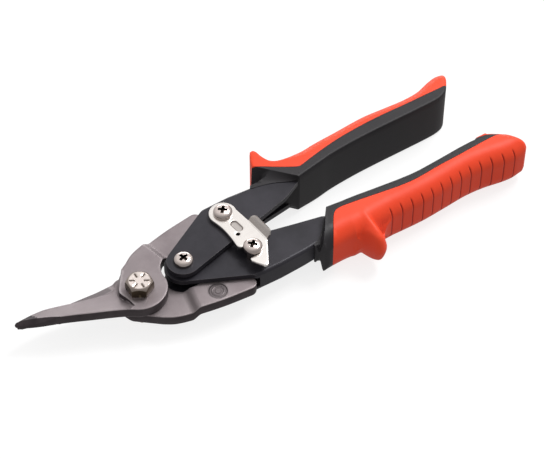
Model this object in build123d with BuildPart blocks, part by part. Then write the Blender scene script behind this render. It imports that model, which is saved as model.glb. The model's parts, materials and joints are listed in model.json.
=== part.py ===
from build123d import *
import os
from math import atan2, cos, degrees, radians, sin

os.makedirs("parts", exist_ok=True)

# Aviation snips lying flat, closed and latched. Millimetres, +Z up.
# The origin is on the blade pivot's axis, on the surface that the tool lies on.
# +X runs to the grips, +Y to the upper handle. Heights in this file are measured from the
# shear plane between the two blades, which is MID above that surface.

# ---------------------------------------------------------------- driving dimensions
MID = 12.7                      # half the depth of a grip
UPPER, LOWER = 1, -1            # side of the X axis that each handle and tail lies on

BLADE_PIVOT = (0.0, 0.0)
HANDLE_PIVOT = (23.1, 0.0)
TAIL_X, TAIL_Y = 52.0, 12.4     # the pivots between blade tails and handles
SLIDE_GAP = 0.03                # half the running gap between the blades

BLADE_DEPTH = 5.5
TAIL_HALF = 2.75                # the tails are joggled onto the shear plane
TAIL_END_R = 6.4
JOGGLE_START, JOGGLE_END, JOGGLE_TURN = 18.0, 22.5, 12.0

SHEET = 2.5                     # handle plate
LOWER_CHEEK = 3.05              # inner face of the lower handle's cheeks
UPPER_CHEEK = 6.5               # inner face of the upper handle's cheeks
WEB_START = 49.0                # the tails' corners swing past here
BENDS_END, BEND_R = 84.0, 1.6    # the bends are rounded as far as the grip
LOWER_NOSE_R, UPPER_NOSE_R = 9.0, 7.8

SLEEVE_R = 3.5
SLEEVE_FIT = 0.05               # running clearance on a sleeve
OPEN_PIVOT_FIT = 0.30           # clearance of the upper tail on its sleeve
SHANK_R = 2.2
SHANK_FIT = 0.05

LATCH_BASE, LATCH_SHEET = 9.65, 1.6
LATCH_WASHER = 0.6
CATCH_NECK_R = 3.0              # neck of the lower tail screw, which the latch hooks round
HEAD_R, HEAD_H = 4.5, 2.7
CATCH_HEAD_BASE = 11.6

BOLT_AF, BOLT_HEAD = 11.4, 5.5
BOLT_SHANK_R = 4.0
BOLT_BORE_R = 4.06

CORE_HALF = 10.0                # half the depth of a grip's hard core
INNER_CORNER = 1.4

SPRING_WIRE_R = 0.65
SPRING_R = 4.95
SPRING_TURNS = 2.5


def level(height):
    """The plane at this height above the shear plane."""
    return Plane.XY.offset(MID + height)


def tail_pivot(side):
    return (TAIL_X, side * TAIL_Y)


# ---------------------------------------------------------------- blades
def tail_profile(side):
    """Side view of a blade: deep at the jaw, then joggled onto the shear plane.

    The plate's near face slides on the other blade, so the joggle turns by JOGGLE_TURN."""
    turn = radians(JOGGLE_TURN * side)
    across = Plane(
        origin=(0, 0, MID),
        x_dir=(cos(turn), sin(turn), 0),
        z_dir=(sin(turn), -cos(turn), 0),
    )
    with BuildPart() as profile:
        with BuildSketch(across):
            Polygon(
                (-70, side * SLIDE_GAP),
                (JOGGLE_START, side * SLIDE_GAP),
                (JOGGLE_END, -side * TAIL_HALF),
                (80, -side * TAIL_HALF),
                (80, side * TAIL_HALF),
                (JOGGLE_END, side * TAIL_HALF),
                (JOGGLE_START, side * BLADE_DEPTH),
                (-70, side * BLADE_DEPTH),
                align=None,
            )
        extrude(amount=60, both=True)
    return profile.part


def blade_plan(side, jaw):
    """Plan of a blade: boss, neck and tail are the same on both, and the jaw's points differ.

    jaw runs from the boss on the far side of the X axis to the boss on the tail's side."""
    def at(x, y):
        return (x, side * y)

    with BuildSketch(Plane.XY.offset(MID - 10)) as plan:
        with BuildLine():
            edge = Spline(at(2.0, 15.9), at(7.0, 19.4), at(16.0, 21.9), at(29.0, 25.0), at(42.4, 26.0))
            shoulder = ThreePointArc(edge @ 1, at(45.6, 25.0), at(46.6, 22.2))
            Line(shoulder @ 1, at(47.4, 16.9))
            tail = ThreePointArc(at(47.4, 16.9), at(TAIL_X + TAIL_END_R, TAIL_Y), at(50.4, 6.2))
            Line(tail @ 1, at(27.2, 9.66))
            neck = ThreePointArc(at(27.2, 9.66), at(14.5, 6.03), at(12.7, -1.48))
            boss = ThreePointArc(neck @ 1, at(7.6, -9.55), jaw[0])
            Polyline(*jaw)
            Line(jaw[-1], edge @ 0)
        make_face()
    return plan.sketch


UPPER_JAW = [
    (-8.2, -9.0), (-12.0, -6.6), (-25.0, -0.2), (-35.0, 4.2), (-45.0, 8.2), (-51.0, 11.2),
    (-54.6, 13.7), (-55.2, 15.4), (-53.4, 16.2), (-47.0, 15.6), (-36.0, 14.0), (-22.0, 11.2),
    (-10.5, 7.8), (-6.8, 9.2),
]
LOWER_JAW = [
    (-3.0, 11.9), (-6.0, 13.4), (-30.0, 13.8), (-42.0, 15.2), (-51.0, 16.0), (-54.4, 15.4),
    (-54.0, 13.8), (-45.0, 11.2), (-30.0, 7.2), (-18.0, 2.6), (-11.6, -4.0),
]

# The upper blade's top slopes from its outer wall down to its cutting edge.
JAW_SLOPE = Plane(
    origin=(-12.0, -6.6, MID + BLADE_DEPTH),
    x_dir=(-0.908, 0.406, 0.10),
    z_dir=(0.165, 0.331, 0.929),
)

with BuildPart() as upper_blade:
    add(blade_plan(UPPER, UPPER_JAW))
    extrude(amount=20)
    add(tail_profile(UPPER), mode=Mode.INTERSECT)
    with BuildSketch(JAW_SLOPE):
        with Locations((36.0, 7.0)):
            Rectangle(70, 44)
    extrude(amount=12, mode=Mode.SUBTRACT)
    with Locations((*BLADE_PIVOT, MID)):
        Hole(BOLT_BORE_R, depth=30)
    with Locations((*tail_pivot(UPPER), MID)):
        Hole(SLEEVE_R + OPEN_PIVOT_FIT, depth=30)
upper_blade.part.label = "upper_blade"
export_step(upper_blade.part, "parts/upper_blade.step")

BADGE_AT = (29.2, -18.7)
BADGE_R, BADGE_DEEP = 4.3, 0.4

with BuildPart() as lower_blade:
    add(blade_plan(LOWER, LOWER_JAW))
    extrude(amount=20)
    add(tail_profile(LOWER), mode=Mode.INTERSECT)
    with Locations((*BLADE_PIVOT, MID)):
        Hole(BOLT_BORE_R, depth=30)
    with Locations((*tail_pivot(LOWER), MID)):
        Hole(SLEEVE_R + SLEEVE_FIT, depth=30)
    with BuildSketch(level(TAIL_HALF)):
        with Locations(BADGE_AT):
            Circle(BADGE_R)
    extrude(amount=-BADGE_DEEP, mode=Mode.SUBTRACT)
lower_blade.part.label = "lower_blade"
export_step(lower_blade.part, "parts/lower_blade.step")

# ---------------------------------------------------------------- handle plates
# Plans of the plates' edges from the pivots to the end of the tang, at the side's distance.
UPPER_OUTER = [
    (19.5, 6.9), (45.0, 20.4), (47.4, 21.6), (60.0, 21.6), (73.0, 20.4), (84.0, 18.9),
    (100.0, 21.5), (140.0, 24.5), (172.0, 25.5),
]
UPPER_INNER = [(172.0, 18.8), (140.0, 18.6), (100.0, 15.0), (92.0, 10.6), (82.0, 5.8), (24.8, -7.6)]
UPPER_INNER_RELIEVED = [
    (172.0, 18.8), (140.0, 18.6), (100.0, 15.0), (90.0, 12.8), (74.0, 10.9), (65.5, 6.6),
    (57.0, -0.2), (24.8, -7.6),
]
LOWER_OUTER = [
    (18.7, 7.9), (45.5, 21.3), (47.6, 22.9), (60.0, 23.5), (73.0, 23.2), (84.0, 22.4),
    (100.0, 22.8), (140.0, 25.3), (172.0, 25.9),
]
LOWER_INNER = [(172.0, 18.8), (140.0, 18.6), (100.0, 15.0), (91.0, 10.2), (80.0, 7.6), (68.0, 4.6), (25.0, -8.8)]


def plate_plan(side, outer, inner, nose_r):
    """Plan of one cheek: the edges above, closed by a round nose about the handle pivot."""
    points = [(x, side * y) for x, y in outer + inner]
    x, y = HANDLE_PIVOT
    with BuildSketch(Plane.XY.offset(MID)) as plan:
        with BuildLine():
            Polyline(*points)
            ThreePointArc(points[-1], (x - nose_r, y), points[0])
        make_face()
    return plan.sketch


def edge_at(outer, x):
    """Distance of the plate's outer edge from the X axis, at x."""
    for (x0, y0), (x1, y1) in zip(outer, outer[1:]):
        if x0 <= x <= x1:
            return y0 + (x - x0) * (y1 - y0) / (x1 - x0)
    return 0.0


def web_plan(side, outer):
    """Plan of the web: the strip along the outer edge, one plate thick."""
    back = [(WEB_START, edge_at(outer, WEB_START))] + [(x, y) for x, y in outer if x > WEB_START]
    strip = back + [(x, y - SHEET) for x, y in reversed(back)]
    with BuildSketch(Plane.XY.offset(MID)) as plan:
        with BuildLine():
            Polyline(*[(x, side * y) for x, y in strip], close=True)
        make_face()
    return plan.sketch


def handle_plate(side, outer, top_inner, bottom_inner, cheek, nose_r):
    """A folded channel: two cheeks on each side of the shear plane, joined by the web."""
    with BuildPart() as plate:
        for inner, base in ((top_inner, cheek), (bottom_inner, -cheek - SHEET)):
            sheet = extrude(plate_plan(side, outer, inner, nose_r), amount=SHEET, mode=Mode.PRIVATE)
            add(sheet.moved(Location((0, 0, base))))
        web = extrude(web_plan(side, outer), amount=2 * cheek + SHEET, mode=Mode.PRIVATE)
        add(web.moved(Location((0, 0, -cheek - SHEET / 2))))
        bends = plate.edges().filter_by(
            lambda edge: WEB_START < edge.center().X < BENDS_END
            and abs(side * edge.center().Y - edge_at(outer, edge.center().X)) < 0.1
            and abs(abs(edge.center().Z - MID) - cheek - SHEET) < 0.01
        )
        fillet(bends, BEND_R)
        with Locations((*tail_pivot(side), MID)):
            Hole(SHANK_R + SHANK_FIT, depth=30)
    return plate


with BuildPart() as upper_handle:
    add(handle_plate(UPPER, UPPER_OUTER, UPPER_INNER, UPPER_INNER_RELIEVED, UPPER_CHEEK, UPPER_NOSE_R).part)
    with Locations((*HANDLE_PIVOT, MID)):
        Hole(SHANK_R + SHANK_FIT, depth=30)
upper_handle.part.label = "upper_handle_plate"
export_step(upper_handle.part, "parts/upper_handle_plate.step")

with BuildPart() as lower_handle:
    add(handle_plate(LOWER, LOWER_OUTER, LOWER_INNER, LOWER_INNER, LOWER_CHEEK, LOWER_NOSE_R).part)
    with Locations((*HANDLE_PIVOT, MID)):
        Hole(SLEEVE_R + SLEEVE_FIT, depth=30)
lower_handle.part.label = "lower_handle_plate"
export_step(lower_handle.part, "parts/lower_handle_plate.step")

# ---------------------------------------------------------------- grips
# Stations along a grip: x, inner side, outer side, half depth, radius of the outer corners.
BODY_STATIONS = [
    (74.0, 10.3, 28.7, 12.6, 7.0),
    (92.0, 11.0, 28.4, 12.7, 7.5),
    (113.0, 13.8, 28.6, 12.7, 8.0),
    (137.0, 16.0, 29.9, 12.7, 8.0),
    (162.0, 15.7, 28.8, 12.7, 7.8),
    (178.0, 15.9, 30.4, 12.5, 7.6),
]
LOWER_END = [(188.0, 17.6, 31.8, 11.6, 7.0), (193.5, 19.6, 30.8, 9.4, 5.4), (196.5, 22.4, 28.4, 5.6, 2.9)]
UPPER_END = [(184.0, 19.0, 31.4, 11.8, 6.0), (188.5, 24.0, 31.0, 9.6, 3.3)]

# Plans of the line on which the soft cover ends, from the front to the back.
UPPER_SEAM = [
    (70.0, 34.0), (79.5, 28.3), (90.0, 19.2), (95.6, 16.4), (101.0, 17.0), (117.0, 20.8),
    (136.0, 22.3), (160.0, 21.5), (200.0, 21.4),
]
LOWER_SEAM = [
    (79.0, 40.0), (84.6, 28.8), (93.8, 16.8), (97.6, 15.2), (107.0, 16.4), (126.0, 19.8),
    (145.0, 21.2), (170.0, 20.6), (190.4, 20.4), (178.0, 16.6), (178.0, 14.0),
]
FRONT_IN, FRONT_OUT = (91.4, 10.5), (79.5, 28.3)
UPPER_GUARD = [
    (79.5, 28.3), (82.1, 35.6), (83.9, 36.9), (85.5, 35.4), (86.2, 31.0), (89.0, 26.6), (98.0, 22.0), (90.0, 20.0),
]
LOWER_GUARD = [(95.0, 24.0), (99.0, 29.0), (101.6, 37.4), (103.9, 40.2), (106.6, 38.4), (110.4, 32.0), (116.0, 24.0)]


def section(station, side):
    """One cross-section of a grip, square on the inner side and round on the outer side."""
    x, inner, outer, half, corner = station
    with BuildSketch(Plane.YZ.offset(x)) as outline:
        with Locations((side * (inner + outer) / 2, MID)):
            Rectangle(outer - inner, 2 * half)
        by_side = outline.vertices().sort_by(Axis.X)
        low_pair, high_pair = by_side[:2], by_side[2:]
        fillet(high_pair if side == UPPER else low_pair, corner)
        by_side = outline.vertices().sort_by(Axis.X)
        fillet(by_side[:2] if side == UPPER else by_side[-2:], INNER_CORNER)
    return outline.sketch


def plan_block(points, side, half):
    """A block over a plan given on the upper side, reaching this far from the shear plane."""
    with BuildSketch(level(-half)) as plan:
        with BuildLine():
            Polyline(*[(x, side * y) for x, y in points], close=True)
        make_face()
    return extrude(plan.sketch, amount=2 * half, mode=Mode.PRIVATE)


def grip_outside(side, end, guard):
    """The whole outside of a grip, cut off at the front on the slant, with its guard."""
    with BuildPart() as outside:
        for station in BODY_STATIONS + end:
            add(section(station, side))
        loft()
        ahead = [(60.0, 5.0), (FRONT_IN[0] + 3.7, 5.0), FRONT_OUT, (FRONT_OUT[0] - 3.7, 34.0), (60.0, 34.0)]
        add(plan_block(ahead, side, 20), mode=Mode.SUBTRACT)
        add(guard)
    return outside.part


def guard_fin():
    """The lower grip's finger guard: a fin that is round when seen along the handle."""
    with BuildPart() as fin:
        add(plan_block(LOWER_GUARD, LOWER, 12))
        with BuildSketch(Plane.YZ.offset(90)):
            with Locations((-18.0, MID)):
                Ellipse(22.6, 12.0)
        extrude(amount=40, mode=Mode.INTERSECT)
    return fin.part


def core_space(side, seam):
    """What the hard core fills: all on the inner side of the seam, and the middle beyond it."""
    inner = plan_block(seam + [(seam[-1][0], -5.0), (60.0, -5.0)], side, 14)
    middle = plan_block([(98.0, 5.0), (98.0, 22.8), (137.0, 24.6), (176.0, 24.6), (176.0, 5.0)], side, CORE_HALF)
    return inner.fuse(middle)


def tang_space(side, outer, inner, cheek):
    """The pocket that the handle's tang fills inside the grip."""
    return plan_block(outer[3:] + inner[:-1], side, cheek + SHEET)


upper_outside = grip_outside(UPPER, UPPER_END, plan_block(UPPER_GUARD, UPPER, 12.6))
lower_outside = grip_outside(LOWER, LOWER_END, guard_fin())

with BuildPart() as upper_core:
    add(upper_outside)
    add(core_space(UPPER, UPPER_SEAM), mode=Mode.INTERSECT)
    add(tang_space(UPPER, UPPER_OUTER, UPPER_INNER, UPPER_CHEEK), mode=Mode.SUBTRACT)
upper_core.part.label = "upper_grip_core"
export_step(upper_core.part, "parts/upper_grip_core.step")

with BuildPart() as upper_cover:
    add(upper_outside)
    add(core_space(UPPER, UPPER_SEAM), mode=Mode.SUBTRACT)
    add(tang_space(UPPER, UPPER_OUTER, UPPER_INNER, UPPER_CHEEK), mode=Mode.SUBTRACT)
upper_cover.part.label = "upper_grip_cover"
export_step(upper_cover.part, "parts/upper_grip_cover.step")

with BuildPart() as lower_core:
    add(lower_outside)
    add(core_space(LOWER, LOWER_SEAM), mode=Mode.INTERSECT)
    add(tang_space(LOWER, LOWER_OUTER, LOWER_INNER, LOWER_CHEEK), mode=Mode.SUBTRACT)
lower_core.part.label = "lower_grip_core"
export_step(lower_core.part, "parts/lower_grip_core.step")

with BuildPart() as lower_cover:
    add(lower_outside)
    add(core_space(LOWER, LOWER_SEAM), mode=Mode.SUBTRACT)
    add(tang_space(LOWER, LOWER_OUTER, LOWER_INNER, LOWER_CHEEK), mode=Mode.SUBTRACT)
lower_cover.part.label = "lower_grip_cover"
export_step(lower_cover.part, "parts/lower_grip_cover.step")

# ---------------------------------------------------------------- blade pivot
HEAD_BASE = BLADE_DEPTH + 0.03
HEAD_TOP_R = 5.3                # round face left by the chamfer on the hex head
MARK_LONG, MARK_WIDE, MARK_DEEP = 2.6, 0.5, 0.35
WASHER_H = 1.1
LOCKNUT_H = 4.4
WASHER_BASE = -BLADE_DEPTH - WASHER_H

with BuildPart() as pivot_bolt:
    with BuildSketch(level(HEAD_BASE)):
        RegularPolygon(radius=BOLT_AF / 2, side_count=6, major_radius=False, rotation=30)
    extrude(amount=BOLT_HEAD)
    with BuildSketch(level(HEAD_BASE)):
        Circle(BOLT_AF * 0.62)
    extrude(amount=BOLT_HEAD, taper=9, mode=Mode.INTERSECT)
    with BuildSketch(level(HEAD_BASE + BOLT_HEAD)):
        with PolarLocations(HEAD_TOP_R - MARK_LONG / 2 - 0.4, 6, start_angle=30):
            Rectangle(MARK_LONG, MARK_WIDE)
    extrude(amount=-MARK_DEEP, mode=Mode.SUBTRACT)
    with BuildSketch(level(-MID)):
        Circle(BOLT_SHANK_R)
    extrude(amount=MID + HEAD_BASE)
    chamfer(pivot_bolt.faces().sort_by(Axis.Z)[0].edges(), 0.6)
pivot_bolt.part.label = "pivot_bolt"
export_step(pivot_bolt.part, "parts/pivot_bolt.step")

with BuildPart() as pivot_washer:
    with BuildSketch(level(WASHER_BASE)):
        Circle(8.0)
        Circle(BOLT_SHANK_R, mode=Mode.SUBTRACT)
    extrude(amount=WASHER_H)
pivot_washer.part.label = "pivot_washer"
export_step(pivot_washer.part, "parts/pivot_washer.step")


def hex_nut(centre, across_flats, base, height, bore_r):
    """A nut chamfered on its outer side, hung under base."""
    with BuildPart() as nut:
        with BuildSketch(level(base - height)):
            with Locations(centre):
                RegularPolygon(radius=across_flats / 2, side_count=6, major_radius=False)
                Circle(bore_r, mode=Mode.SUBTRACT)
        extrude(amount=height)
        chamfer(nut.faces().sort_by(Axis.Z)[0].outer_wire().edges(), 0.5)
    return nut


pivot_nut = hex_nut(BLADE_PIVOT, 12.5, WASHER_BASE, LOCKNUT_H, BOLT_SHANK_R)
pivot_nut.part.label = "pivot_lock_nut"
export_step(pivot_nut.part, "parts/pivot_lock_nut.step")

# ---------------------------------------------------------------- screws, nuts and sleeves
NUT_AF, NUT_H, SCREW_PROUD = 8.0, 2.6, 0.5
RECESS_LONG, RECESS_WIDE, RECESS_DEEP = 4.6, 1.1, 1.5


def pan_screw(centre, head_base, neck, end):
    """A pan-head screw with a cross recess. neck is (radius, base) of the thick part, or None."""
    with BuildPart() as screw:
        with BuildSketch(level(head_base)):
            with Locations(centre):
                Circle(HEAD_R)
        extrude(amount=HEAD_H)
        fillet(screw.faces().sort_by(Axis.Z)[-1].edges(), HEAD_H * 0.7)
        with BuildSketch(level(head_base + HEAD_H)):
            with Locations(centre):
                Rectangle(RECESS_LONG, RECESS_WIDE)
                Rectangle(RECESS_WIDE, RECESS_LONG)
        extrude(amount=-RECESS_DEEP, mode=Mode.SUBTRACT)
        if neck:
            with BuildSketch(level(neck[1])):
                with Locations(centre):
                    Circle(neck[0])
            extrude(amount=head_base - neck[1])
        with BuildSketch(level(end)):
            with Locations(centre):
                Circle(SHANK_R)
        extrude(amount=head_base - end)
    return screw


UPPER_FACE = UPPER_CHEEK + SHEET
LOWER_FACE = LOWER_CHEEK + SHEET
LATCH_NECK_R = 3.2
LATCH_HEAD_BASE = LATCH_BASE + LATCH_SHEET + 0.05

handle_screw = pan_screw(HANDLE_PIVOT, UPPER_FACE, None, -UPPER_FACE - NUT_H - SCREW_PROUD)
handle_screw.part.label = "handle_pivot_screw"
export_step(handle_screw.part, "parts/handle_pivot_screw.step")

latch_screw = pan_screw(
    tail_pivot(UPPER), LATCH_HEAD_BASE, (LATCH_NECK_R, UPPER_FACE), -UPPER_FACE - NUT_H - SCREW_PROUD
)
latch_screw.part.label = "latch_screw"
export_step(latch_screw.part, "parts/latch_screw.step")

catch_screw = pan_screw(
    tail_pivot(LOWER), CATCH_HEAD_BASE, (CATCH_NECK_R, LOWER_FACE), -LOWER_FACE - NUT_H - SCREW_PROUD
)
catch_screw.part.label = "catch_screw"
export_step(catch_screw.part, "parts/catch_screw.step")

handle_nut = hex_nut(HANDLE_PIVOT, NUT_AF, -UPPER_FACE, NUT_H, SHANK_R)
handle_nut.part.label = "handle_pivot_nut"
export_step(handle_nut.part, "parts/handle_pivot_nut.step")

latch_nut = hex_nut(tail_pivot(UPPER), NUT_AF, -UPPER_FACE, NUT_H, SHANK_R)
latch_nut.part.label = "latch_screw_nut"
export_step(latch_nut.part, "parts/latch_screw_nut.step")

catch_nut = hex_nut(tail_pivot(LOWER), NUT_AF, -LOWER_FACE, NUT_H, SHANK_R)
catch_nut.part.label = "catch_screw_nut"
export_step(catch_nut.part, "parts/catch_screw_nut.step")


def rings(centre, outer_r, bore_r, spans):
    """Round rings on one axis, each between two heights."""
    with BuildPart() as group:
        for base, top in spans:
            with BuildSketch(level(base)):
                with Locations(centre):
                    Circle(outer_r)
                    Circle(bore_r, mode=Mode.SUBTRACT)
            extrude(amount=top - base)
    return group


handle_sleeve = rings(HANDLE_PIVOT, SLEEVE_R, SHANK_R, [(-UPPER_CHEEK, UPPER_CHEEK)])
handle_sleeve.part.label = "handle_pivot_sleeve"
export_step(handle_sleeve.part, "parts/handle_pivot_sleeve.step")

upper_sleeve = rings(tail_pivot(UPPER), SLEEVE_R, SHANK_R, [(-UPPER_CHEEK, UPPER_CHEEK)])
upper_sleeve.part.label = "upper_tail_sleeve"
export_step(upper_sleeve.part, "parts/upper_tail_sleeve.step")

lower_sleeve = rings(tail_pivot(LOWER), SLEEVE_R, SHANK_R, [(-LOWER_CHEEK, LOWER_CHEEK)])
lower_sleeve.part.label = "lower_tail_sleeve"
export_step(lower_sleeve.part, "parts/lower_tail_sleeve.step")

SPACER_BASE = TAIL_HALF + 0.15
tail_spacers = rings(
    tail_pivot(UPPER), 5.8, SLEEVE_R, [(SPACER_BASE, UPPER_CHEEK), (-UPPER_CHEEK, -SPACER_BASE)]
)
tail_spacers.part.label = "upper_tail_spacers"
export_step(tail_spacers.part, "parts/upper_tail_spacers.step")

THRUST_BASE = LOWER_FACE + 0.08
thrust_washers = rings(
    HANDLE_PIVOT, 6.6, SLEEVE_R, [(THRUST_BASE, UPPER_CHEEK), (-UPPER_CHEEK, -THRUST_BASE)]
)
thrust_washers.part.label = "handle_thrust_washers"
export_step(thrust_washers.part, "parts/handle_thrust_washers.step")

latch_washer = rings(tail_pivot(UPPER), 5.6, LATCH_NECK_R, [(UPPER_FACE, UPPER_FACE + LATCH_WASHER)])
latch_washer.part.label = "latch_washer"
export_step(latch_washer.part, "parts/latch_washer.step")

# ---------------------------------------------------------------- latch
# Plan of the plate: round about its screw, a waist, the catch notch and the hook below it.
TAB_TOP, TAB_LEAN = 3.4, 0.9    # the thumb tab's height over the plate, and its lean
TAB_SPAN = (-11.8, 2.4)
DIMPLE_AT, DIMPLE_LONG, DIMPLE_WIDE, DIMPLE_DEEP = (53.0, 2.2), 7.0, 3.8, 0.6
PEEP_AT, PEEP_R = (50.9, -1.9), 0.9
LATCH_RATIO = 2.0               # the latch swings this many degrees for one degree of the fold
NOTCH_R = CATCH_NECK_R + 0.3
NOTCH_FOLDS = [0, 2.5, 5, 7.5, 10]


def turned(point, centre, angle):
    """A plan point turned about a centre by an angle in degrees."""
    turn = radians(angle)
    dx, dy = point[0] - centre[0], point[1] - centre[1]
    return (centre[0] + dx * cos(turn) - dy * sin(turn), centre[1] + dx * sin(turn) + dy * cos(turn))


def neck_place(fold):
    """Where the catch neck is, as seen from the latch, when the handles are open by fold degrees."""
    from_handle = turned(tail_pivot(LOWER), HANDLE_PIVOT, -fold)
    return turned(from_handle, tail_pivot(UPPER), -LATCH_RATIO * fold)


with BuildPart() as latch:
    with BuildSketch(level(LATCH_BASE)):
        with BuildLine():
            crown = ThreePointArc((58.3, 11.0), (51.6, 18.9), (45.6, 11.4))
            waist = Spline(crown @ 1, (46.9, 5.0), (47.1, -2.0), (46.7, -6.6))
            roof = ThreePointArc(waist @ 1, (47.0, -8.2), (48.6, -9.6))
            lip = Line(roof @ 1, (47.4, -17.75))
            hook = Spline(lip @ 1, (48.6, -20.4), (50.6, -23.4))
            toe = ThreePointArc(hook @ 1, (52.0, -24.1), (53.4, -23.3))
            Line(toe @ 1, (60.3, -12.3))
            Line((60.3, -12.3), (59.2, 2.4))
            Line((59.2, 2.4), crown @ 0)
        make_face()
        for start, end in zip(NOTCH_FOLDS, NOTCH_FOLDS[1:]):
            run = Vector(*neck_place(end)) - Vector(*neck_place(start))
            middle = Vector(*neck_place(start)) + run * 0.5
            with Locations(middle):
                SlotCenterToCenter(
                    run.length, 2 * NOTCH_R, rotation=degrees(atan2(run.Y, run.X)), mode=Mode.SUBTRACT
                )
    extrude(amount=LATCH_SHEET)
    with BuildSketch(Plane(origin=(0, TAB_SPAN[1], MID + LATCH_BASE), x_dir=(1, 0, 0), z_dir=(0, -1, 0))):
        Polygon(
            (58.6, 0.0), (59.9, 0.0), (61.5 + TAB_LEAN, LATCH_SHEET + TAB_TOP),
            (60.3 + TAB_LEAN, LATCH_SHEET + TAB_TOP + 0.2), (59.2, LATCH_SHEET),
            align=None,
        )
    extrude(amount=TAB_SPAN[1] - TAB_SPAN[0])
    with BuildSketch(level(LATCH_BASE)):
        with Locations(tail_pivot(UPPER)):
            Circle(LATCH_NECK_R + SLEEVE_FIT)
        with Locations(PEEP_AT):
            Circle(PEEP_R)
    extrude(amount=LATCH_SHEET, mode=Mode.SUBTRACT)
    with BuildSketch(level(LATCH_BASE + LATCH_SHEET)):
        with Locations(DIMPLE_AT):
            SlotOverall(DIMPLE_LONG, DIMPLE_WIDE, rotation=95)
    extrude(amount=-DIMPLE_DEEP, mode=Mode.SUBTRACT)
latch.part.label = "latch_plate"
export_step(latch.part, "parts/latch_plate.step")

# ---------------------------------------------------------------- opening spring
# A torsion spring round the handle pivot's sleeve, with one leg along each blade tail.
LEG_LONG = 22.5
COIL_PITCH = 2 * SPRING_WIRE_R + 0.05
COIL_HALF = COIL_PITCH * SPRING_TURNS / 2
coil_foot = Vector(*HANDLE_PIVOT, MID - COIL_HALF)
leg = Vector(LEG_LONG, 0, 0)

with BuildPart() as opening_spring:
    with BuildLine():
        coil = Helix(COIL_PITCH, 2 * COIL_HALF, SPRING_R, center=coil_foot, mode=Mode.PRIVATE)
        coil = coil.rotate(Axis(coil_foot, (0, 0, 1)), 90)
        Line(coil @ 0 + leg, coil @ 0)
        add(coil)
        Line(coil @ 1, coil @ 1 + leg)
    with BuildSketch(Plane(origin=coil @ 0 + leg, z_dir=(-1, 0, 0))):
        Circle(SPRING_WIRE_R)
    sweep(is_frenet=True)
opening_spring.part.label = "opening_spring"
export_step(opening_spring.part, "parts/opening_spring.step")
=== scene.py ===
"""Aviation snips, closed and latched: the looks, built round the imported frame.

Shapes are worked out in millimetres. X and Y are the frame's, and heights are measured from the
shear plane between the blades. Meshes are made in metres, at the place that the frame gives.
"""
import json
from math import atan2, cos, hypot, pi, radians, sin, sqrt

import bmesh
import bpy
from mathutils import Matrix, Vector
from mathutils.geometry import delaunay_2d_cdt

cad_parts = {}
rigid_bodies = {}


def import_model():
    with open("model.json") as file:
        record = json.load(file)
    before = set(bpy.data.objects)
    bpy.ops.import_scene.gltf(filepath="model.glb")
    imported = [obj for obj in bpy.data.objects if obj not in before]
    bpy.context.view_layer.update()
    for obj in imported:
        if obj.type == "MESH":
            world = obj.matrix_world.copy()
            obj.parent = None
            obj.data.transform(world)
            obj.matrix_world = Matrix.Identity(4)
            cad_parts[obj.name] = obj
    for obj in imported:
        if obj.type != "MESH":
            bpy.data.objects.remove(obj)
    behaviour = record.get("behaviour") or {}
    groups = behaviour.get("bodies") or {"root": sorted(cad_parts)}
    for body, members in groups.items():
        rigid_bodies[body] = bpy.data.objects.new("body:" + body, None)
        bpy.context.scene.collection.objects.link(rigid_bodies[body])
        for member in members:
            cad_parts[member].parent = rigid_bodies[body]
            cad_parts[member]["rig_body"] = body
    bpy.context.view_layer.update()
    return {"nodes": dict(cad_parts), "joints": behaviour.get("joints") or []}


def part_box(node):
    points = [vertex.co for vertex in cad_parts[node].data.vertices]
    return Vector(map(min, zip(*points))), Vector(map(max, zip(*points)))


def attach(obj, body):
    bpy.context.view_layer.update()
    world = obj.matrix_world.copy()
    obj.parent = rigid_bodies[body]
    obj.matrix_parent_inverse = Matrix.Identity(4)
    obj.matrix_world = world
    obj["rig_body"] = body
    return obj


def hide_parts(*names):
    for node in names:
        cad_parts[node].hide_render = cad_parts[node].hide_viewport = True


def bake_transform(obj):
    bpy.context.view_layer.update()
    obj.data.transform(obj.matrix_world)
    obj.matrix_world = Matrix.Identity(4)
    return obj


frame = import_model()

# ---------------------------------------------------------------- places from the frame
MM = 0.001
PIVOTS = {joint["name"]: [c / MM for c in joint["pos_m"]] for joint in frame["joints"]}
MID = PIVOTS["handle_hinge"][2]
HANDLE_PIVOT = tuple(PIVOTS["handle_hinge"][:2])
BLADE_PIVOT = tuple(PIVOTS["blade_pivot"][:2])
UPPER_TAIL = tuple(PIVOTS["latch_pivot"][:2])
LOWER_TAIL = tuple(PIVOTS["lower_blade_pivot"][:2])
UPPER, LOWER = 1, -1


def heights(node):
    """Lowest and highest point of a CAD node, as heights from the shear plane."""
    low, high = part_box(node)
    return low.z / MM - MID, high.z / MM - MID


# ---------------------------------------------------------------- material helpers
def add_node(tree, kind, inputs=None, **settings):
    """A new node with these settings. inputs gives each socket a value or another node's output."""
    made = tree.nodes.new(kind)
    for key, value in settings.items():
        setattr(made, key, value)
    for key, value in (inputs or {}).items():
        if isinstance(value, bpy.types.NodeSocket):
            tree.links.new(value, made.inputs[key])
        else:
            made.inputs[key].default_value = value
    return made


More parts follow.
